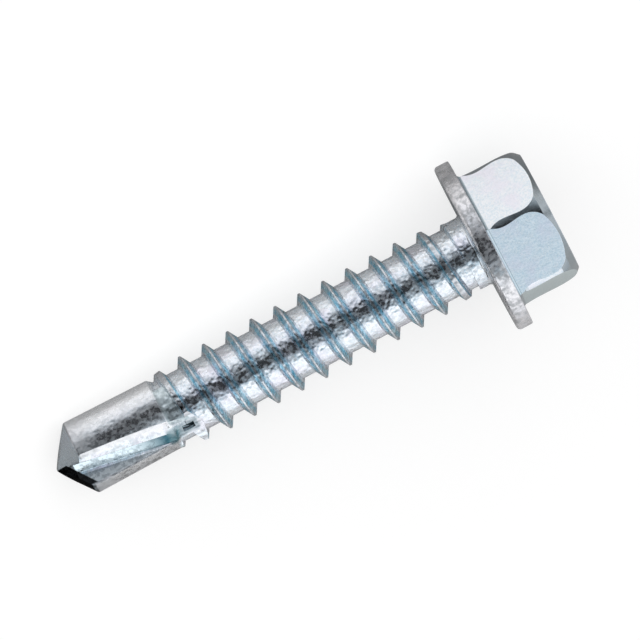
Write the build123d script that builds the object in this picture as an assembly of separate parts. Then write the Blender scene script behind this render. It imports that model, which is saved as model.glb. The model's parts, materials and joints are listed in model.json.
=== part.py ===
from build123d import *
import math
import os

# Self-drilling screw with a hexagon washer head: one piece of wire, its head upset,
# its point pinched to shape and its thread rolled, then zinc plated.
# It is made upright on the Z axis, the point at the origin and the head above,
# and is laid on its side at the end, as it comes to rest on a table.
# Lengths are in millimetres. Angles around the axis are in degrees, from +X towards +Y.

# Overall length
LENGTH_UNDER_HEAD = 28.4

# Drill point
DRILL_DIAMETER = 4.70
DRILL_CORNER_HEIGHT = 1.62
DRILL_CORNER_ROUNDING = 0.25
POINT_CONE_ANGLE = 106
CHISEL_ROOF_ANGLE = 112
CHISEL_DIRECTION = 107
LAND_LENGTH = 7.2
LAND_BACK_TAPER = 0.07
LAND_END_SLOPE_LENGTH = 0.35

# Heel of each land: its edge along the flute is bevelled, and it runs on into the first crest
HEEL_BEVEL_ANGLE = 118
HEEL_BEVEL_DISTANCE_AT_POINT = 1.90
HEEL_BEVEL_DISTANCE_AT_END = 2.24
HEEL_BEVEL_REACH = 0.6
HEEL_OVERLAP = 0.4
HEEL_END_HEIGHT = 8.5
HEEL_START_ANGLE = 48
HEEL_END_ANGLE = 115

# Flutes, one on each side of the drill
FLUTE_COUNT = 2
RAKE_EDGE_ANGLE = 143.3
WEB_THICKNESS = 1.20
RAKE_WALL_WIDTH = 1.25
FLUTE_FLOOR_ANGLE = 42
FLUTE_FLOOR_WIDTH = 0.74
HEEL_WALL_ANGLE = 89
FLUTE_VALLEY_START = 1.0
FLUTE_LENGTH = 7.9
GASH_REACH = 0.40
GASH_ANGLE = 112

# Behind each flute the dies leave a flat without crests, and a small hollow in it
RUN_OUT_ANGLE = 139
RUN_OUT_DISTANCE = 1.98
RUN_OUT_START = 7.0
RUN_OUT_END = 9.15
HOLLOW_ANGLE = 132
HOLLOW_DIAMETER = 0.5
HOLLOW_HEIGHT = 8.25
HOLLOW_LENGTH = 0.75

# Thread, right-handed
THREAD_DIAMETER = 5.28
ROOT_DIAMETER = 4.04
PITCH = 1.62
FLANK_ANGLE = 60
CREST_FLAT = 0.10
CREST_HEIGHT_AT_ZERO_ANGLE = 8.03
CREST_CLEARANCE = 0.02
FLANK_POINTS = 7
START_CREST_DIAMETER = 4.52
START_TAPER_LENGTH = 2.3
START_OVERLAP = 0.1

# Plain neck under the head, and the length over which the last crests fade into it
NECK_DIAMETER = 4.50
NECK_LENGTH = 0.85
NECK_FILLET = 0.25
CREST_FADE_LENGTH = 2.5

# Washer forged with the head
WASHER_DIAMETER = 11.0
WASHER_THICKNESS = 1.0
BEARING_RIM_ROUNDING = 0.24
UPPER_RIM_ROUNDING = 0.09

# Hexagon
ACROSS_FLATS = 8.0
HEAD_HEIGHT = 5.0
HEX_CORNER_ANGLE = 21.3
HEX_BASE_FILLET = 0.24
HEX_BASE_CORNER_DIAMETER = 9.5
HEX_WAIST_DIAMETER = 9.0
HEX_WAIST_HEIGHT = 1.5
HEX_CORNER_DIAMETER = 9.09
HEX_CORNER_HEIGHT = 2.35
HEX_SHOULDER_DIAMETER = 8.57
HEX_SHOULDER_DROP = 0.49
HEX_TOP_DIAMETER = 7.62

# The side of the drill that faces the table is the middle of a flute's opening
REST_SIDE_FROM_RAKE_EDGE = 29.0
TILT_STEPS = 20

# How far a cutting shape reaches past the metal that it removes
CUT_MARGIN = 3.0

# How far from its nominal height an edge may lie and still be picked
MATCH_GAP = 0.001

DRILL_RADIUS = DRILL_DIAMETER / 2
LAND_END_RADIUS = DRILL_RADIUS - LAND_BACK_TAPER
RAKE_LEAD = math.degrees(math.asin(WEB_THICKNESS / 2 / DRILL_RADIUS))
THREAD_RADIUS = THREAD_DIAMETER / 2
ROOT_RADIUS = ROOT_DIAMETER / 2
NECK_RADIUS = NECK_DIAMETER / 2
WASHER_RADIUS = WASHER_DIAMETER / 2
WASHER_TOP = LENGTH_UNDER_HEAD + WASHER_THICKNESS
HEAD_TOP = LENGTH_UNDER_HEAD + HEAD_HEIGHT


def around_axis(radius, angle):
    """The point at this radius and angle around the screw's axis."""
    return Vector(radius * math.cos(math.radians(angle)), radius * math.sin(math.radians(angle)))


def drill_blank():
    """The round shape of point and drill, before the flutes."""
    cone_drop = DRILL_RADIUS / math.tan(math.radians(POINT_CONE_ANGLE / 2))
    corner = (DRILL_RADIUS, DRILL_CORNER_HEIGHT)
    outline = Polyline(
        (0, DRILL_CORNER_HEIGHT - cone_drop),
        corner,
        (LAND_END_RADIUS, LAND_LENGTH),
        (ROOT_RADIUS - CREST_CLEARANCE, LAND_LENGTH + LAND_END_SLOPE_LENGTH),
        (0, LAND_LENGTH + LAND_END_SLOPE_LENGTH),
        close=True,
    )
    section = make_face(outline)
    corner_point = section.vertices().sort_by_distance(corner)[0]
    section = fillet(corner_point, DRILL_CORNER_ROUNDING)
    return revolve(Plane.XZ * section, Axis.Z)


def chisel_roof():
    """A wide body whose lower end is the roof of the chisel edge."""
    eave = WASHER_DIAMETER
    eave_height = eave / math.tan(math.radians(CHISEL_ROOF_ANGLE / 2))
    outline = Polyline(
        (0, 0),
        (eave, eave_height),
        (eave, HEAD_TOP),
        (-eave, HEAD_TOP),
        (-eave, eave_height),
        close=True,
    )
    roof = extrude(Plane.XZ * make_face(outline), eave, both=True)
    return Rot(0, 0, CHISEL_DIRECTION - 90) * roof


def thread_section():
    """The section across the axis of the threaded shank, where height 0 is on a crest."""

    def at(radius, height):
        return around_axis(radius, 360 * height / PITCH)

    slope = math.tan(math.radians(FLANK_ANGLE / 2))
    crest_end = CREST_FLAT / 2
    root_start = crest_end + (THREAD_RADIUS - ROOT_RADIUS) * slope
    steps = [number / (FLANK_POINTS - 1) for number in range(FLANK_POINTS)]
    flank = [
        (
            THREAD_RADIUS + (ROOT_RADIUS - THREAD_RADIUS) * step,
            crest_end + (root_start - crest_end) * step,
        )
        for step in steps
    ]
    crest = ThreePointArc(
        at(THREAD_RADIUS, -crest_end), at(THREAD_RADIUS, 0), at(THREAD_RADIUS, crest_end)
    )
    root = ThreePointArc(
        at(ROOT_RADIUS, root_start), at(ROOT_RADIUS, PITCH / 2), at(ROOT_RADIUS, -root_start)
    )
    rising = Spline(*[at(radius, height) for radius, height in flank])
    falling = Spline(*[at(radius, -height) for radius, height in reversed(flank)])
    return make_face([crest, rising, root, falling])


def threaded_length(bottom, top):
    """The shank from one height to another, its section turned once in each pitch."""
    height = top - bottom
    turned = Solid.extrude_linear_with_rotation(
        thread_section().face(),
        center=(0, 0, 0),
        normal=(0, 0, height),
        angle=360 * height / PITCH,
    )
    angle = 360 * (bottom - CREST_HEIGHT_AT_ZERO_ANGLE) / PITCH
    return Pos(0, 0, bottom) * Rot(0, 0, angle) * Part(turned.wrapped)


def crest_trim(start, start_radius, end, end_radius):
    """The ring of metal missing from the crests between two heights, its bore a cone."""
    outside = THREAD_RADIUS + CUT_MARGIN
    outline = Polyline(
        (start_radius, start), (end_radius, end), (outside, end), (outside, start), close=True
    )
    return revolve(Plane.XZ * make_face(outline), Axis.Z)


def plane_cut(angle, bottom, bottom_distance, top, top_distance, reach):
    """The metal outside a sloping plane that faces this angle, between two heights.

    The reach is how far it goes past that angle, on the side of larger angles.
    """
    far = THREAD_RADIUS + CUT_MARGIN
    outline = Polyline(
        (bottom_distance, bottom), (top_distance, top), (far, top), (far, bottom), close=True
    )
    block = extrude(Plane.XZ * make_face(outline), 2 * far)
    return Rot(0, 0, angle) * Pos(0, reach, 0) * block


def run_outs():
    """The flats behind the flutes, each with its hollow."""
    flat = plane_cut(
        RUN_OUT_ANGLE,
        RUN_OUT_START,
        RUN_OUT_DISTANCE,
        RUN_OUT_END,
        RUN_OUT_DISTANCE,
        THREAD_RADIUS + CUT_MARGIN,
    )
    hollow = Rot(0, 0, HOLLOW_ANGLE) * Pos(RUN_OUT_DISTANCE, 0, HOLLOW_HEIGHT) * Cylinder(
        HOLLOW_DIAMETER / 2, HOLLOW_LENGTH
    )
    one = flat + hollow
    return [Rot(0, 0, number * 360 / FLUTE_COUNT) * one for number in range(FLUTE_COUNT)]


def threaded_shank():
    """The thread, its crests rising after the drill and fading again under the head."""
    full_start = LAND_LENGTH + START_TAPER_LENGTH
    fade_end = LENGTH_UNDER_HEAD - NECK_LENGTH
    fade_start = fade_end - CREST_FADE_LENGTH
    clear_radius = THREAD_RADIUS + CREST_CLEARANCE
    first = LAND_LENGTH - START_OVERLAP
    start = threaded_length(first, full_start)
    start -= crest_trim(first, START_CREST_DIAMETER / 2, full_start, clear_radius)
    start -= run_outs()
    middle = threaded_length(full_start, fade_start)
    fade = threaded_length(fade_start, fade_end)
    fade -= crest_trim(fade_start, clear_radius, fade_end, NECK_RADIUS)
    return [start, middle, fade]


def flute_section(height, valley):
    """One flute across the axis at one height: rake wall, narrow floor and heel wall."""
    reach = DRILL_RADIUS + CUT_MARGIN
    heel_foot = valley + around_axis(FLUTE_FLOOR_WIDTH, FLUTE_FLOOR_ANGLE)
    heel_side = heel_foot + around_axis(reach, HEEL_WALL_ANGLE)
    rake_side = valley + around_axis(reach, RAKE_EDGE_ANGLE + RAKE_LEAD)
    outline = Polyline(valley, heel_foot, heel_side, rake_side, close=True)
    return Pos(0, 0, height) * make_face(outline)


def flute():
    """One flute, deepest at the point and shallower towards the thread."""
    rake_edge = around_axis(DRILL_RADIUS, RAKE_EDGE_ANGLE)
    valley_at_point = rake_edge - around_axis(RAKE_WALL_WIDTH, RAKE_EDGE_ANGLE + RAKE_LEAD)
    gash = flute_section(0, around_axis(GASH_REACH, GASH_ANGLE))
    point = flute_section(FLUTE_VALLEY_START, valley_at_point)
    end = flute_section(FLUTE_LENGTH, rake_edge)
    return loft([gash, point, end], ruled=True)


def neck():
    """The plain cylinder between the thread and the washer."""
    bottom = LENGTH_UNDER_HEAD - NECK_LENGTH
    return Pos(0, 0, bottom) * Cylinder(
        NECK_RADIUS, WASHER_TOP - bottom, align=(Align.CENTER, Align.CENTER, Align.MIN)
    )


def washer():
    """The round flange, with a softly rounded rim on its bearing side."""
    disc = Pos(0, 0, LENGTH_UNDER_HEAD) * Cylinder(
        WASHER_RADIUS, WASHER_THICKNESS, align=(Align.CENTER, Align.CENTER, Align.MIN)
    )
    bearing_rim = disc.edges().filter_by(GeomType.CIRCLE).sort_by(Axis.Z)[0]
    disc = fillet(bearing_rim, BEARING_RIM_ROUNDING)
    upper_rim = disc.edges().filter_by(GeomType.CIRCLE).sort_by(Axis.Z)[-1]
    return fillet(upper_rim, UPPER_RIM_ROUNDING)


def hexagon_trim():
    """The round die shape that leaves the hexagon's corners underfilled and its top chamfered."""
    base = (HEX_BASE_CORNER_DIAMETER / 2, WASHER_TOP)
    waist = (HEX_WAIST_DIAMETER / 2, WASHER_TOP + HEX_WAIST_HEIGHT)
    corner = (HEX_CORNER_DIAMETER / 2, WASHER_TOP + HEX_CORNER_HEIGHT)
    shoulder = (HEX_SHOULDER_DIAMETER / 2, HEAD_TOP - HEX_SHOULDER_DROP)
    top = (HEX_TOP_DIAMETER / 2, HEAD_TOP)
    side = Spline(base, waist, corner, shoulder)
    foot = (base[0], LENGTH_UNDER_HEAD)
    rest = Polyline(shoulder, top, (0, HEAD_TOP), (0, LENGTH_UNDER_HEAD), foot, base)
    return revolve(Plane.XZ * make_face([side, rest]), Axis.Z)


def hexagon():
    """The driving hexagon above the washer."""
    prism = extrude(
        RegularPolygon(ACROSS_FLATS / 2, 6, major_radius=False, rotation=HEX_CORNER_ANGLE),
        HEAD_HEIGHT,
    )
    return (Pos(0, 0, LENGTH_UNDER_HEAD) * prism) & hexagon_trim()


def heel():
    """The part of a land that runs on past the flute into the first crest."""
    bottom = LAND_LENGTH - HEEL_OVERLAP
    return Pos(0, 0, bottom) * Rot(0, 0, HEEL_START_ANGLE) * Cylinder(
        LAND_END_RADIUS - CREST_CLEARANCE,
        HEEL_END_HEIGHT - bottom,
        arc_size=HEEL_END_ANGLE - HEEL_START_ANGLE,
        align=(Align.NONE, Align.NONE, Align.MIN),
    )


def drill():
    """Point and drill with their flutes and bevelled heels."""
    bevel = plane_cut(
        HEEL_BEVEL_ANGLE,
        0,
        HEEL_BEVEL_DISTANCE_AT_POINT,
        HEEL_END_HEIGHT,
        HEEL_BEVEL_DISTANCE_AT_END,
        HEEL_BEVEL_REACH,
    )
    body = drill_blank() & chisel_roof()
    for number in range(FLUTE_COUNT):
        turn = Rot(0, 0, number * 360 / FLUTE_COUNT)
        body += turn * heel()
        body -= turn * bevel
        body -= turn * flute()
    return body


def head():
    """Neck, washer and hexagon in one, with the fillets where they meet."""
    body = washer() + hexagon()
    hexagon_foot = body.edges().filter_by(Plane.XY).filter_by_position(
        Axis.Z, WASHER_TOP - MATCH_GAP, WASHER_TOP + MATCH_GAP
    )
    inner_edges = [edge for edge in hexagon_foot if edge.length < WASHER_DIAMETER]
    body = fillet(inner_edges, HEX_BASE_FILLET)
    body += neck()
    neck_edge = body.edges().filter_by(GeomType.CIRCLE).filter_by_position(
        Axis.Z, LENGTH_UNDER_HEAD - MATCH_GAP, LENGTH_UNDER_HEAD + MATCH_GAP
    ).sort_by(SortBy.RADIUS)[0]
    return fillet(neck_edge, NECK_FILLET)


def screw():
    """The whole screw, upright."""
    return Part() + [drill(), *threaded_shank(), head()]


def lying(body, tilt):
    """Lays an upright body along +X, its head raised by the tilt and its rest side down."""
    rest_side = RAKE_EDGE_ANGLE + 180 - REST_SIDE_FROM_RAKE_EDGE
    return Rot(0, 90 - tilt, 0) * Rot(0, 0, -rest_side) * body


def resting_tilt():
    """The tilt at which the drill and the washer's rim touch the table together."""
    point = drill()
    flange = washer()
    low, high = 0, 45
    for _ in range(TILT_STEPS):
        tilt = (low + high) / 2
        point_bottom = lying(point, tilt).bounding_box().min.Z
        flange_bottom = lying(flange, tilt).bounding_box().min.Z
        if flange_bottom < point_bottom:
            low = tilt
        else:
            high = tilt
    return tilt


def on_the_table(body):
    """Moves a lying body so that the middle of its box's underside is the origin."""
    box = body.bounding_box()
    return Pos(-box.center().X, -box.center().Y, -box.min.Z) * body


os.makedirs("parts", exist_ok=True)
tilt = resting_tilt()
self_drilling_screw = on_the_table(lying(screw(), tilt))
print("tilt", round(tilt, 3), "box", self_drilling_screw.bounding_box())
print("volume", round(self_drilling_screw.volume, 2), "valid", self_drilling_screw.is_valid)
export_step(self_drilling_screw, "parts/self_drilling_screw.step")
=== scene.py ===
import json
import math

import bpy
from mathutils import Matrix, Vector

# Looks for a zinc-plated self-drilling screw that lies on a pale table.
# Lengths are in metres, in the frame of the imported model. Angles are in degrees, and a turn
# is an angle around the screw, counted from straight up towards +Y.

MM = 0.001

# Camera. The picture is square to the screw's axis and nearly without perspective. The aim is
# counted from the tip along the axis, and from there to the right and up in the picture.
PICTURE_WIDTH = 38.4 * MM
CAMERA_DISTANCE = 0.8
CAMERA_SIDE_TURN = 24.3
CAMERA_ROLL = 27.8
TIP_FROM_BEARING_FACE = 28.4 * MM
AIM_FROM_TIP = 17.64 * MM
AIM_RIGHT = 0.172 * MM
AIM_UP = 0.801 * MM
SENSOR_WIDTH = 36

# Studio. The surround is a dome whose light changes only with the angle around the screw,
# counted here from the camera: dark where the camera stands, with a large soft light on
# either side. Each band is an angle and a colour, and the bands blend into each other.
DOME_BANDS = [
    (-180, (0.40, 0.42, 0.44)),
    (-114, (0.80, 0.84, 0.88)),
    (-95, (1.16, 1.18, 1.20)),
    (-62, (1.30, 1.32, 1.34)),
    (-51, (1.06, 1.10, 1.13)),
    (-42, (0.60, 0.73, 0.81)),
    (-35, (0.42, 0.49, 0.54)),
    (-24, (0.18, 0.20, 0.22)),
    (-14, (0.038, 0.040, 0.043)),
    (14, (0.038, 0.040, 0.043)),
    (24, (0.38, 0.42, 0.46)),
    (34, (0.78, 0.83, 0.88)),
    (48, (1.06, 1.08, 1.12)),
    (66, (1.12, 1.13, 1.15)),
    (180, (0.80, 0.82, 0.86)),
]

# The same light is dimmed towards the point's end of the screw. Each band is the part of a
# direction that runs along the axis, from -1 past the point to 1 past the head, and a strength.
DOME_END_BANDS = [
    (-1.00, 0.80),
    (-0.76, 0.80),
    (-0.64, 0.08),
    (-0.50, 0.08),
    (-0.40, 1.00),
    (1.00, 1.00),
]

# The lamp that lights the floor
FILL_BRIGHTNESS = 1.8
FILL_SIZE = 2.2
FILL_DISTANCE = 0.9
FILL_SIDE_TURN = 32

# Floor. It glows to the camera alone, partly close to the screw and fully far from it. Its
# noise is given like the patterns in the metal.
FLOOR_RADIUS = 1.2
FLOOR_SIDES = 96
FLOOR_ROUGHNESS = 0.9
FLOOR_SPECULAR = 0.1
FLOOR_GREY = 0.32
FLOOR_GLOW = 0.70
GLOW_START = 40 * MM
GLOW_END = 150 * MM
FLOOR_NOISE = (0.5, 3, 0.6)
FLOOR_RELIEF = 0.1
FLOOR_RELIEF_DEPTH = 0.05 * MM

# Painted shade: the floor close to the screw gets a darker colour for mirrored rays alone, so
# that it looks darker in the metal than it does to the eye. Each band is a distance beside the
# axis, towards +Y, and the floor's grey there.
SHADE_REACH = 80 * MM
SHADE_BANDS = [
    (-SHADE_REACH, 0.82),
    (-12 * MM, 0.61),
    (-3 * MM, 0.35),
    (3 * MM, 0.37),
    (8 * MM, 0.56),
    (17 * MM, 0.86),
    (40 * MM, 0.99),
]
HEAD_SHADE_GREY = 0.35
HEAD_SHADE_FROM = 5 * MM
HEAD_SHADE_FULL = 9 * MM
HEAD_SHADE_BELOW = -1 * MM
HEAD_SHADE_ABOVE = 14 * MM
HEAD_SHADE_BLUR = 12 * MM
POINT_SHADE_GREY = 0.023
POINT_SHADE_FULL = -15.5 * MM
POINT_SHADE_BELOW = -0.5 * MM
POINT_SHADE_BLUR = 1 * MM

# Zones of the screw's surface. Starts and ends are counted along the axis from the tip, radii
# from the axis. The lip's front blur is a product of two distances.
DRILL_CORNER = 1.62 * MM
DRILL_END = 7.3 * MM
DRILL_FADE = 0.2 * MM
LAND_RADIUS = 2.24 * MM
# A thin line of painted shade runs round the drill's corner, where the cone meets the lands.
CORNER_SHADE_START = 1.60 * MM
CORNER_SHADE_END = 1.66 * MM
DULL_CORNER_END = 1.92 * MM
DULL_CORNER_FADE = 1.4 * MM
HEEL_RADIUS = 2.26 * MM

FLUTE_START = 0.9 * MM
# Painted shade lies in a band beside each cutting edge, on the flute's side of it.
LIP_START = 0.15 * MM
LIP_FRONT_BLUR = 0.02 * MM * MM
LIP_SHADE_WIDTH = 0.42 * MM
LIP_SLANT = 36
# The rake walls are painted with shade, all but a strip along their foot that is left pale and
# shows as a light line.
RAKE_WALL_FOOT = 0.84 * MM
RAKE_WALL_FOOT_RISE = 0.181
RAKE_WALL_FOOT_WIDTH = 0.18 * MM
# The flute floor is painted with a dark teal shade towards its end.
FLUTE_SHADE_START = 4.5 * MM
FLUTE_SHADE_END = 6.7 * MM
# Painted shade lies on the run-out behind the flute's end, in patches, and turns to grey further
# on.
RUN_OUT_START = 6.9 * MM
RUN_OUT_END = 8.8 * MM
RUN_OUT_BLUR = 0.15 * MM
RUN_OUT_SPREAD = (0.95, 0.98)
RUN_OUT_GREY_START = 7.6 * MM
RUN_OUT_GREY_END = 8.0 * MM
# Painted shade fills the hollow at each flute's end.
HOLLOW_START = 7.8 * MM
HOLLOW_END = 8.7 * MM
HOLLOW_RADIUS = 1.96 * MM
HOLLOW_HALF_WIDTH = 0.28 * MM

THREAD_START = 8.45 * MM
THREAD_END = 27.5 * MM
FILM_BLUR = 0.3 * MM
FLANK_RADIUS = 2.28 * MM
FILM_FADE_START = 2.46 * MM
FILM_FADE_END = 2.60 * MM
FILM_LEFT_ON_CREST = 0.3
WORN_CREST_RADIUS = 2.58 * MM

SHANK_END = 28.3 * MM
RIM_RADIUS = 5.3 * MM
FOOT_START = 29.42 * MM
FOOT_RADIUS = 3.9 * MM
HEXAGON_START = 29.56 * MM
HEXAGON_END = 33.37 * MM

# How soft the zones' edges are
BLUR = 0.1 * MM
EDGE_BLUR = 0.05 * MM
FINE_BLUR = 0.03 * MM

# The turns that edges and flat faces look to
CUTTING_EDGE_TURN = -65.7
RAKE_WALL_TURN = 46.2
FLUTE_FLOOR_TURN = -17.7
# The side facets at this turn and the opposite one get a painted reflection tint.
SIDE_FACET_TURN = -57
# The hexagon's corners are painted with shade, except the corners at this turn and the opposite
# one.
PALE_CORNER_TURN = -27
FACET_TURNS = (63, 3, SIDE_FACET_TURN)

# How closely a face has to look along a direction, from where it starts to count to where it
# counts in full: a flat face around the screw, and a flank along it
FACE_MATCH = (0.97, 0.985)
FLANK_MATCH = (0.3, 0.6)

# Patterns in the metal: cells of noise in a millimetre, detail and roughness
PATTERNS = {
    "cloud": (0.6, 3, 0.6),
    "mottle": (1.8, 4, 0.6),
    "dents": (2.4, 1, 0.5),
    "blobs": (3.6, 2, 0.6),
    "grain": (8, 2, 0.7),
}

# What the patterns do: a pattern's values where a change starts and ends, and the amounts there
BLUE_PATCHES = (0.42, 0.62, 0, 0.8)
LILAC_CLOUDS = (0.48, 0.64, 0, 0.7)
RIM_STAINS = (0.44, 0.62, 0, 0.7)
CREST_WEAR = (0.40, 0.60, 0.5, 1)
RUN_OUT_PATCHES = (0.30, 0.60, 1, 0.7)
DARK_FILM = (0.40, 0.60, 0, 1)
FILM_WEAR = (0.35, 0.60, 1, 0.6)
MATTE_PATCHES = (0.43, 0.59, 0, 0.30)

ZINC_PALE = (0.84, 0.86, 0.89)
ZINC_BLUE = (0.66, 0.75, 0.82)
ZINC_LILAC = (0.80, 0.78, 0.86)
WORN_GREY = (0.78, 0.78, 0.79)
WARM_GREY = (0.76, 0.75, 0.77)
# The grey of the rim's stains, and of the painted shade in the line round the drill's corner
STAIN_AND_SHADE_GREY = (0.40, 0.41, 0.42)
CONE_BLUE = (0.60, 0.69, 0.75)
HEEL_GREY = (0.58, 0.66, 0.68)
# Painted shade on the rake walls
RAKE_WALL_SHADE_GREY = (0.31, 0.34, 0.36)
CREST_GREY = (0.50, 0.51, 0.53)
# Painted shade on the hexagon's corners
CORNER_SHADE_GREY = (0.32, 0.36, 0.38)
PALE_CYAN = (0.76, 0.88, 0.94)
PASSIVATION = (0.46, 0.80, 0.92)
PASSIVATION_DARK = (0.20, 0.50, 0.65)
# Painted shade in the hollows
HOLLOW_SHADE_COLOUR = (0.015, 0.025, 0.03)
# Painted shade beside the cutting edges
LIP_SHADE_COLOUR = (0.012, 0.013, 0.014)
# Painted shade at the end of the flute floor
FLUTE_END_SHADE = (0.05, 0.14, 0.18)
# Painted shade on the run-out, and the grey that it turns to further on
RUN_OUT_SHADE_TEAL = (0.09, 0.19, 0.22)
RUN_OUT_GREY = (0.25, 0.31, 0.34)
FOOT_TEAL = (0.30, 0.42, 0.48)
# A painted reflection tint on the side facets
FACET_REFLECTION_TINT = (0.72, 0.86, 0.88)

# How much of its colour or painted shade a zone takes. The zones that aren't named here take all
# of it, or
# as much as a pattern gives.
COVER = {
    "land": 0.8,
    "cone": 0.6,
    "hexagon corner": 0.9,
    "heel": 0.8,
    "drill corner": 0.7,
    "foot": 0.6,
}

# Roughness of clean metal, and what worn and dull places add to it. The matte patches are
# weaker on the head and the lands, by these factors.
GLOSS = 0.12
SATIN = 0.10
DULL = 0.20
HEAD_PATCHES = 0.25
LAND_PATCHES = 0.6

# Relief: the strength of the dents on the head and the shank, and what other zones add to it
EDGE_ROUNDING = 0.03 * MM
RELIEF_SLOPE = 0.20
HEAD_DENTS = 0.05
SHANK_DENTS = 0.9
DENT_CHANGES = {"drill": -0.45, "flute": -0.35, "rim": 0.3}
DENT_DEPTH = 0.10 * MM
GRAIN_RELIEF = 0.15
GRAIN_DEPTH = 0.02 * MM

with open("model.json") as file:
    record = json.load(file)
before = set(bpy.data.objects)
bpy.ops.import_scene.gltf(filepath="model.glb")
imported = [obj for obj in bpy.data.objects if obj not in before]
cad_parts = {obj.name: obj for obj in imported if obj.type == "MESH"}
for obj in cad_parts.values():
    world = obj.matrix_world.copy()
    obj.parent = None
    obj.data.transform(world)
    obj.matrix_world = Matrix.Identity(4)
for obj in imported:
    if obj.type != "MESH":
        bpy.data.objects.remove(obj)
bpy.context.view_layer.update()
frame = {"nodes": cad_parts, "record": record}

bearing_face = next(m for m in frame["record"]["mounts"] if m["name"] == "bearing_face")
BEARING_CENTRE = Vector(bearing_face["pos_m"])
AXIS = -Vector(bearing_face["axis"]).normalized()
TIP = BEARING_CENTRE - AXIS * TIP_FROM_BEARING_FACE
ABOVE_AXIS = (Vector((0, 0, 1)) - AXIS * AXIS.z).normalized()
BESIDE_AXIS = ABOVE_AXIS.cross(AXIS)


def around_axis(angle):
    """The direction at this angle around the screw, from straight up towards +Y."""
    turn = math.radians(angle)
    return ABOVE_AXIS * math.cos(turn) + BESIDE_AXIS * math.sin(turn)


def feed(tree, sockets, values):
    """Gives each socket its value, the output of another node or a fixed one."""
    for socket, value in zip(sockets, values):
        if isinstance(value, bpy.types.NodeSocket):
            tree.links.new(value, socket)
        else:
            socket.default_value = value


def math_node(tree, operation, *values):
    """A math node, each input a socket or a number."""
    node = tree.nodes.new("ShaderNodeMath")
    node.operation = operation
    feed(tree, node.inputs, values)
    return node.outputs["Value"]


def vector_node(tree, operation, *values):
    """A vector math node, each input a socket or a fixed vector."""
    node = tree.nodes.new("ShaderNodeVectorMath")
    node.operation = operation
    feed(tree, node.inputs, values)
    gives_number = operation in ("DOT_PRODUCT", "LENGTH")
    return node.outputs["Value" if gives_number else "Vector"]


def combined(tree, operation, first, *others):
    """The result of a math operation on several values, one after the other."""
    result = first
    for value in others:
        result = math_node(tree, operation, result, value)
    return result


def times(tree, *values):
    """The product of several values."""
    return combined(tree, "MULTIPLY", *values)


def total(tree, *values):
    """The sum of several values."""
    return combined(tree, "ADD", *values)


def largest(tree, *values):
    """The largest of several values."""
    return combined(tree, "MAXIMUM", *values)


def span(tree, value, low, high, to_low, to_high):
    """Maps a span of values to another, held at its ends."""
    node = tree.nodes.new("ShaderNodeMapRange")
    names = ("Value", "From Min", "From Max", "To Min", "To Max")
    feed(tree, [node.inputs[name] for name in names], (value, low, high, to_low, to_high))
    return node.outputs["Result"]


def rising(tree, value, low, high):
    """0 up to the low value, 1 from the high value on."""
    return span(tree, value, low, high, 0, 1)


def falling(tree, value, low, high):
    """1 up to the low value, 0 from the high value on."""
    return span(tree, value, low, high, 1, 0)


def opposite(tree, amount):
    """What an amount leaves of 1."""
    return falling(tree, amount, 0, 1)


def between(tree, value, low, high, blur):
    """1 where a value lies between two others, falling to 0 over the blur outside them."""
    rise = rising(tree, value, low - blur, low)
    fall = falling(tree, value, high, high + blur)
    return times(tree, rise, fall)


def grey(level):
    """A grey as a colour."""
    return (level, level, level)


def mix(tree, amount, first, second):
    """A blend of two colours, each a socket or a fixed colour."""
    node = tree.nodes.new("ShaderNodeMix")
    node.data_type = "RGBA"
    colours = [(*value, 1) if isinstance(value, tuple) else value for value in (first, second)]
    sockets = [socket for socket in node.inputs if socket.type == "RGBA"]
    feed(tree, [node.inputs["Factor"], *sockets], (amount, *colours))
    return next(socket for socket in node.outputs if socket.type == "RGBA")


def banded(tree, value, low, high, bands):
    """Soft bands of colour over a value from low to high, each a value and a colour or grey."""
    node = tree.nodes.new("ShaderNodeValToRGB")
    tree.links.new(rising(tree, value, low, high), node.inputs["Fac"])
    elements = node.color_ramp.elements
    for number, (middle, colour) in enumerate(bands):
        place = (middle - low) / (high - low)
        stop = elements[number] if number < len(elements) else elements.new(place)
        stop.position = place
        tint = colour if isinstance(colour, tuple) else grey(colour)
        stop.color = (*tint, 1)
    return node.outputs["Color"]


def own_place(tree):
    """A point's place in the frame's own coordinates."""
    return tree.nodes.new("ShaderNodeTexCoord").outputs["Object"]


def component(tree, vector, direction):
    """A vector's part along a fixed direction."""
    return vector_node(tree, "DOT_PRODUCT", vector, direction)


def size_along(tree, vector, direction):
    """The size of a vector's part along a fixed direction, either way."""
    return math_node(tree, "ABSOLUTE", component(tree, vector, direction))


def ray(tree, kind):
    """1 for rays of this kind, 0 for all others."""
    return tree.nodes.new("ShaderNodeLightPath").outputs[kind]


def noise(tree, cells_in_mm, detail, roughness):
    """Noise in the frame's own coordinates."""
    node = tree.nodes.new("ShaderNodeTexNoise")
    names = ("Vector", "Scale", "Detail", "Roughness")
    values = (own_place(tree), cells_in_mm / MM, detail, roughness)
    feed(tree, [node.inputs[name] for name in names], values)
    return node.outputs["Fac"]


def relief(tree, height, strength, depth, normal=None):
    """Bumps of this height pattern, on top of other bumps if there are any."""
    bump = tree.nodes.new("ShaderNodeBump")
    names = ("Height", "Strength", "Distance")
    feed(tree, [bump.inputs[name] for name in names], (height, strength, depth))
    if normal is not None:
        tree.links.new(normal, bump.inputs["Normal"])
    return bump.outputs["Normal"]


def new_material(name):
    """A material, with its node tree and shader."""
    material = bpy.data.materials.new(name)
    material.use_nodes = True
    tree = material.node_tree
    return material, tree, tree.nodes["Principled BSDF"]


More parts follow.
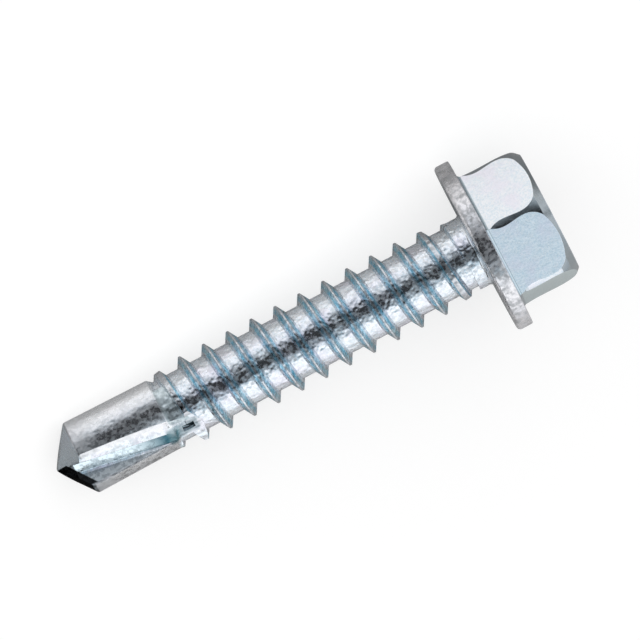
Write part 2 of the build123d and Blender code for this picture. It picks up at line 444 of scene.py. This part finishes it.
def add_camera():
    """A long lens square to the axis, rolled so that the head is at the upper right."""
    towards_camera = around_axis(CAMERA_SIDE_TURN)
    level_up = towards_camera.cross(AXIS)
    roll = math.radians(CAMERA_ROLL)
    right = AXIS * math.cos(roll) - level_up * math.sin(roll)
    up = AXIS * math.sin(roll) + level_up * math.cos(roll)
    aim = TIP + AXIS * AIM_FROM_TIP + right * AIM_RIGHT + up * AIM_UP
    data = bpy.data.cameras.new("camera")
    data.sensor_width = SENSOR_WIDTH
    data.lens = SENSOR_WIDTH * CAMERA_DISTANCE / PICTURE_WIDTH
    camera = bpy.data.objects.new("camera", data)
    bpy.context.scene.collection.objects.link(camera)
    place = Matrix((right, up, towards_camera)).transposed().to_4x4()
    place.translation = aim + towards_camera * CAMERA_DISTANCE
    camera.matrix_world = place
    bpy.context.scene.camera = camera


def add_fill():
    """A wide soft lamp on the camera's side that lights the floor. The metal doesn't show it."""
    data = bpy.data.lights.new("fill", "AREA")
    data.shape = "SQUARE"
    data.size = FILL_SIZE
    data.energy = FILL_BRIGHTNESS * FILL_SIZE * FILL_SIZE * math.pi
    lamp = bpy.data.objects.new("fill", data)
    bpy.context.scene.collection.objects.link(lamp)
    towards_lamp = around_axis(FILL_SIDE_TURN)
    lamp.location = towards_lamp * FILL_DISTANCE
    lamp.rotation_euler = towards_lamp.to_track_quat("Z", "Y").to_euler()
    lamp.visible_glossy = False
    lamp.visible_camera = False


def add_dome():
    """The light that the metal mirrors, in soft bands along the screw. The camera sees white."""
    world = bpy.data.worlds.new("studio")
    bpy.context.scene.world = world
    world.use_nodes = True
    world.cycles_visibility.diffuse = False
    tree = world.node_tree
    direction = tree.nodes.new("ShaderNodeTexCoord").outputs["Generated"]
    towards = component(tree, direction, around_axis(CAMERA_SIDE_TURN))
    beside = component(tree, direction, around_axis(CAMERA_SIDE_TURN + 90))
    angle = math_node(tree, "DEGREES", math_node(tree, "ARCTAN2", beside, towards))
    bands = tree.nodes["Background"]
    tree.links.new(banded(tree, angle, -180, 180, DOME_BANDS), bands.inputs["Color"])
    past_end = component(tree, direction, AXIS)
    tree.links.new(banded(tree, past_end, -1, 1, DOME_END_BANDS), bands.inputs["Strength"])
    white = tree.nodes.new("ShaderNodeBackground")
    white.inputs["Color"].default_value = (1, 1, 1, 1)
    choice = tree.nodes.new("ShaderNodeMixShader")
    shaders = (bands.outputs["Background"], white.outputs["Background"])
    feed(tree, choice.inputs, (ray(tree, "Is Camera Ray"), *shaders))
    tree.links.new(choice.outputs["Shader"], tree.nodes["World Output"].inputs["Surface"])


def painted_floor_shade(tree, place):
    """Painted shade: the floor's colour in the metal, darker beside the screw, the head and the
    point.
    """
    beside = component(tree, place, (0, 1, 0))
    along = component(tree, place, (1, 0, 0))
    shade = banded(tree, beside, -SHADE_REACH, SHADE_REACH, SHADE_BANDS)
    by_head = times(
        tree,
        between(tree, beside, HEAD_SHADE_BELOW, HEAD_SHADE_ABOVE, HEAD_SHADE_BLUR),
        rising(tree, along, HEAD_SHADE_FROM, HEAD_SHADE_FULL),
    )
    shade = mix(tree, by_head, shade, grey(HEAD_SHADE_GREY))
    by_point = times(
        tree,
        falling(tree, beside, POINT_SHADE_BELOW - POINT_SHADE_BLUR, POINT_SHADE_BELOW),
        falling(tree, along, POINT_SHADE_FULL, POINT_SHADE_FULL + POINT_SHADE_BLUR),
    )
    return mix(tree, by_point, shade, grey(POINT_SHADE_GREY))


def add_floor():
    """A pale table with a faint shadow."""
    bpy.ops.mesh.primitive_circle_add(
        vertices=FLOOR_SIDES, radius=FLOOR_RADIUS, fill_type="NGON"
    )
    floor = bpy.context.object
    floor.name = "floor"
    material, tree, shader = new_material("pale_floor")
    shader.inputs["Roughness"].default_value = FLOOR_ROUGHNESS
    shader.inputs["Specular IOR Level"].default_value = FLOOR_SPECULAR
    shader.inputs["Emission Color"].default_value = (1, 1, 1, 1)
    place = own_place(tree)
    far = rising(tree, vector_node(tree, "LENGTH", place), GLOW_START, GLOW_END)
    seen = mix(tree, far, grey(FLOOR_GREY), grey(0))
    # Mirrored rays see the painted shade; all other rays see the floor's own grey.
    colour = mix(tree, ray(tree, "Is Glossy Ray"), seen, painted_floor_shade(tree, place))
    tree.links.new(colour, shader.inputs["Base Color"])
    glow = times(tree, span(tree, far, 0, 1, FLOOR_GLOW, 1), ray(tree, "Is Camera Ray"))
    tree.links.new(glow, shader.inputs["Emission Strength"])
    bumps = relief(tree, noise(tree, *FLOOR_NOISE), FLOOR_RELIEF, FLOOR_RELIEF_DEPTH)
    tree.links.new(bumps, shader.inputs["Normal"])
    floor.data.materials.append(material)


def place_on_screw(tree):
    """How far a point is from the axis, how far along it, and its place from the tip."""
    place = vector_node(tree, "SUBTRACT", own_place(tree), TIP)
    radius = vector_node(tree, "LENGTH", vector_node(tree, "CROSS_PRODUCT", place, AXIS))
    along = component(tree, place, AXIS)
    return radius, along, place


def face_direction(tree):
    """The way that a face of the mesh looks, without bumps or smoothing."""
    return tree.nodes.new("ShaderNodeNewGeometry").outputs["True Normal"]


def facing(tree, turn):
    """1 on faces that look this way or the opposite way from the axis, 0 elsewhere."""
    return rising(tree, size_along(tree, face_direction(tree), around_axis(turn)), *FACE_MATCH)


def sloping(tree):
    """1 on faces that look along the screw, such as the flanks, and 0 on its crests and roots."""
    return rising(tree, size_along(tree, face_direction(tree), AXIS), *FLANK_MATCH)


def drill_zones(tree, radius, along):
    """The drill's round parts: how much of each lies on a point, from 0 to 1."""
    on_drill = falling(tree, along, DRILL_END, DRILL_END + DRILL_FADE)
    outside = rising(tree, radius, LAND_RADIUS - BLUR, LAND_RADIUS)
    past_corner = rising(tree, along, DRILL_CORNER, DRILL_CORNER + BLUR)
    # Painted shade in a thin line round the drill's corner
    shaded_corner_line = between(tree, along, CORNER_SHADE_START, CORNER_SHADE_END, EDGE_BLUR)
    dulled = between(tree, along, DRILL_CORNER, DULL_CORNER_END, DULL_CORNER_FADE)
    low, high = HEEL_RADIUS - FINE_BLUR, HEEL_RADIUS + FINE_BLUR
    return {
        "drill": on_drill,
        "cone": falling(tree, along, DRILL_CORNER - EDGE_BLUR, DRILL_CORNER),
        "land": times(tree, on_drill, past_corner, outside),
        "drill corner": times(tree, shaded_corner_line, outside),
        "dull corner": times(tree, dulled, outside),
        "heel": times(
            tree,
            between(tree, along, DRILL_END, THREAD_START, BLUR),
            between(tree, radius, low, high, FINE_BLUR),
        ),
    }


def lip_zone(tree, along, place):
    """A band of painted shade beside each cutting edge, on the flute's side of it."""
    edge_way = around_axis(CUTTING_EDGE_TURN)
    outwards = component(tree, place, edge_way)
    sideways = component(tree, place, around_axis(CUTTING_EDGE_TURN + 90))
    slant = math.radians(LIP_SLANT)
    past_start = math_node(tree, "SUBTRACT", along, LIP_START)
    up = times(tree, past_start, math.cos(slant))
    out = times(tree, size_along(tree, place, edge_way), math.sin(slant))
    from_edge = math_node(tree, "SUBTRACT", up, out)
    return times(
        tree,
        rising(tree, times(tree, outwards, sideways), 0, LIP_FRONT_BLUR),
        falling(tree, from_edge, LIP_SHADE_WIDTH - EDGE_BLUR, LIP_SHADE_WIDTH),
    )


def above_wall_foot(tree, along, place):
    """Where the rake wall gets painted shade: all of it but the strip along its foot, which
    climbs towards the thread and is left pale to show a light line.
    """
    height = size_along(tree, place, around_axis(RAKE_WALL_TURN - 90))
    foot = total(tree, times(tree, along, RAKE_WALL_FOOT_RISE), RAKE_WALL_FOOT)
    above = math_node(tree, "SUBTRACT", height, foot)
    return rising(tree, above, RAKE_WALL_FOOT_WIDTH - EDGE_BLUR, RAKE_WALL_FOOT_WIDTH)


def flute_zones(tree, radius, along, place):
    """The flutes, their floors, and the places in them where shade is painted: beside the edges,
    on the rake walls and the run-out, and in the hollows.
    """
    inside = falling(tree, radius, LAND_RADIUS - BLUR, LAND_RADIUS)
    in_flute = times(tree, between(tree, along, FLUTE_START, DRILL_END, BLUR), inside)
    over_flute = size_along(tree, place, around_axis(FLUTE_FLOOR_TURN))
    over_flute = math_node(tree, "DIVIDE", over_flute, radius)
    off_middle = size_along(tree, place, around_axis(FLUTE_FLOOR_TURN + 90))
    half_width = span(tree, along, HOLLOW_START, HOLLOW_END, 0, HOLLOW_HALF_WIDTH)
    from_side = math_node(tree, "SUBTRACT", half_width, off_middle)
    rake_wall = times(tree, in_flute, facing(tree, RAKE_WALL_TURN))
    return {
        "flute": in_flute,
        "lip": times(tree, lip_zone(tree, along, place), inside),
        "rake wall": times(tree, rake_wall, above_wall_foot(tree, along, place)),
        "flute floor": times(tree, in_flute, facing(tree, FLUTE_FLOOR_TURN)),
        "run-out": times(
            tree,
            between(tree, along, RUN_OUT_START, RUN_OUT_END, RUN_OUT_BLUR),
            rising(tree, over_flute, *RUN_OUT_SPREAD),
        ),
        "hollow": times(
            tree,
            rising(tree, from_side, 0, EDGE_BLUR),
            falling(tree, along, HOLLOW_END, HOLLOW_END + BLUR),
            falling(tree, radius, HOLLOW_RADIUS - FINE_BLUR, HOLLOW_RADIUS),
        ),
    }


def thread_zones(tree, radius, along):
    """The flanks, whose film fades towards the crests, the worn crests, and the shank."""
    slopes = sloping(tree)
    worn = rising(tree, radius, WORN_CREST_RADIUS - FINE_BLUR, WORN_CREST_RADIUS)
    high = rising(tree, radius, FLANK_RADIUS, FLANK_RADIUS + FINE_BLUR)
    flat_top = times(tree, high, opposite(tree, slopes))
    return {
        "flank": times(
            tree,
            between(tree, along, THREAD_START, THREAD_END, FILM_BLUR),
            slopes,
            rising(tree, radius, FLANK_RADIUS - EDGE_BLUR, FLANK_RADIUS),
            span(tree, radius, FILM_FADE_START, FILM_FADE_END, 1, FILM_LEFT_ON_CREST),
        ),
        "crest": times(
            tree,
            between(tree, along, DRILL_END, THREAD_END, FILM_BLUR),
            largest(tree, worn, flat_top),
        ),
        "shank": falling(tree, along, SHANK_END - BLUR, SHANK_END),
    }


def head_zones(tree, radius, along):
    """The washer's rim, the hexagon's foot, its corners with painted shade, and the side facets
    with a painted reflection tint.
    """
    on_hexagon = between(tree, along, HEXAGON_START, HEXAGON_END, FINE_BLUR)
    flat_turns = (*FACET_TURNS, PALE_CORNER_TURN)
    on_facet = largest(tree, *[facing(tree, turn) for turn in flat_turns])
    return {
        "rim": rising(tree, radius, RIM_RADIUS - BLUR, RIM_RADIUS),
        "foot": times(
            tree,
            between(tree, along, FOOT_START, HEXAGON_START, FINE_BLUR),
            rising(tree, radius, FOOT_RADIUS - BLUR, FOOT_RADIUS),
        ),
        "hexagon corner": times(tree, on_hexagon, opposite(tree, on_facet)),
        "side facet": times(tree, on_hexagon, facing(tree, SIDE_FACET_TURN)),
    }


def zone_colours(tree, along, mottle):
    """Each zone's colour, in the order in which they are laid over each other. Some are painted
    shade, and the side facets' tint is a painted reflection.
    """
    # The flute floor is cyan, painted with shade towards its end; the run-out's painted shade
    # turns grey further on.
    toward_flute_shade = rising(tree, along, FLUTE_SHADE_START, FLUTE_SHADE_END)
    past_run_out_shade = rising(tree, along, RUN_OUT_GREY_START, RUN_OUT_GREY_END)
    return {
        "land": WORN_GREY,
        "cone": CONE_BLUE,
        "rim": mix(tree, span(tree, mottle, *RIM_STAINS), WARM_GREY, STAIN_AND_SHADE_GREY),
        "hexagon corner": CORNER_SHADE_GREY,
        "crest": CREST_GREY,
        "heel": HEEL_GREY,
        "drill corner": STAIN_AND_SHADE_GREY,
        "rake wall": RAKE_WALL_SHADE_GREY,
        "flute floor": mix(tree, toward_flute_shade, PALE_CYAN, FLUTE_END_SHADE),
        "run-out": mix(tree, past_run_out_shade, RUN_OUT_SHADE_TEAL, RUN_OUT_GREY),
        "hollow": HOLLOW_SHADE_COLOUR,
        "lip": LIP_SHADE_COLOUR,
        "foot": FOOT_TEAL,
        "side facet": FACET_REFLECTION_TINT,
        "flank": mix(tree, span(tree, mottle, *DARK_FILM), PASSIVATION, PASSIVATION_DARK),
    }


def zinc_colour(tree, zone, along, patterns):
    """Pale zinc, with each zone's colour, or its painted shade, laid over it in turn."""
    mottle, dents = patterns["mottle"], patterns["dents"]
    tone = mix(tree, span(tree, patterns["grain"], *BLUE_PATCHES), ZINC_PALE, ZINC_BLUE)
    tone = mix(tree, span(tree, patterns["cloud"], *LILAC_CLOUDS), tone, ZINC_LILAC)
    cover = {
        **COVER,
        "crest": span(tree, mottle, *CREST_WEAR),
        "run-out": span(tree, dents, *RUN_OUT_PATCHES),
        "flank": span(tree, dents, *FILM_WEAR),
    }
    for name, colour in zone_colours(tree, along, mottle).items():
        amount = times(tree, zone[name], cover.get(name, 1))
        tone = mix(tree, amount, tone, colour)
    return tone


def zinc_roughness(tree, zone, patterns):
    """Glossy with matte patches, satin where it is worn, and dull at the drill's ends."""
    worked = largest(tree, zone["shank"], zone["rim"])
    matte = times(
        tree,
        span(tree, patterns["blobs"], *MATTE_PATCHES),
        span(tree, worked, 0, 1, HEAD_PATCHES, 1),
        span(tree, zone["land"], 0, 1, 1, LAND_PATCHES),
    )
    satin = times(tree, total(tree, zone["land"], zone["rim"]), SATIN)
    dull = times(tree, total(tree, zone["dull corner"], zone["heel"]), DULL)
    return total(tree, matte, satin, dull, GLOSS)


def zinc_normal(tree, zone, patterns):
    """Rounded edges, lands that fall away towards their heel, and an uneven skin."""
    edges = tree.nodes.new("ShaderNodeBevel")
    edges.inputs["Radius"].default_value = EDGE_ROUNDING
    rounded = edges.outputs["Normal"]
    towards_heel = vector_node(tree, "CROSS_PRODUCT", AXIS, rounded)
    slope = times(tree, zone["land"], RELIEF_SLOPE)
    fall = vector_node(tree, "MULTIPLY_ADD", towards_heel, slope, rounded)
    strength = span(tree, zone["shank"], 0, 1, HEAD_DENTS, SHANK_DENTS)
    for name, change in DENT_CHANGES.items():
        strength = total(tree, strength, times(tree, zone[name], change))
    grained = relief(tree, patterns["grain"], GRAIN_RELIEF, GRAIN_DEPTH, fall)
    return relief(tree, patterns["dents"], strength, DENT_DEPTH, grained)


def zinc():
    """Bright zinc with a pale blue passivation: satin, mottled and lightly scuffed."""
    material, tree, shader = new_material("zinc_plated_steel")
    shader.inputs["Metallic"].default_value = 1.0
    radius, along, place = place_on_screw(tree)
    zone = {
        **drill_zones(tree, radius, along),
        **flute_zones(tree, radius, along, place),
        **thread_zones(tree, radius, along),
        **head_zones(tree, radius, along),
    }
    patterns = {name: noise(tree, *values) for name, values in PATTERNS.items()}
    tree.links.new(zinc_colour(tree, zone, along, patterns), shader.inputs["Base Color"])
    tree.links.new(zinc_roughness(tree, zone, patterns), shader.inputs["Roughness"])
    tree.links.new(zinc_normal(tree, zone, patterns), shader.inputs["Normal"])
    return material


add_camera()
add_floor()
add_dome()
add_fill()

screw = frame["nodes"]["self_drilling_screw"]
screw.data.materials.clear()
screw.data.materials.append(zinc())

bpy.context.scene.view_settings.view_transform = "Standard"
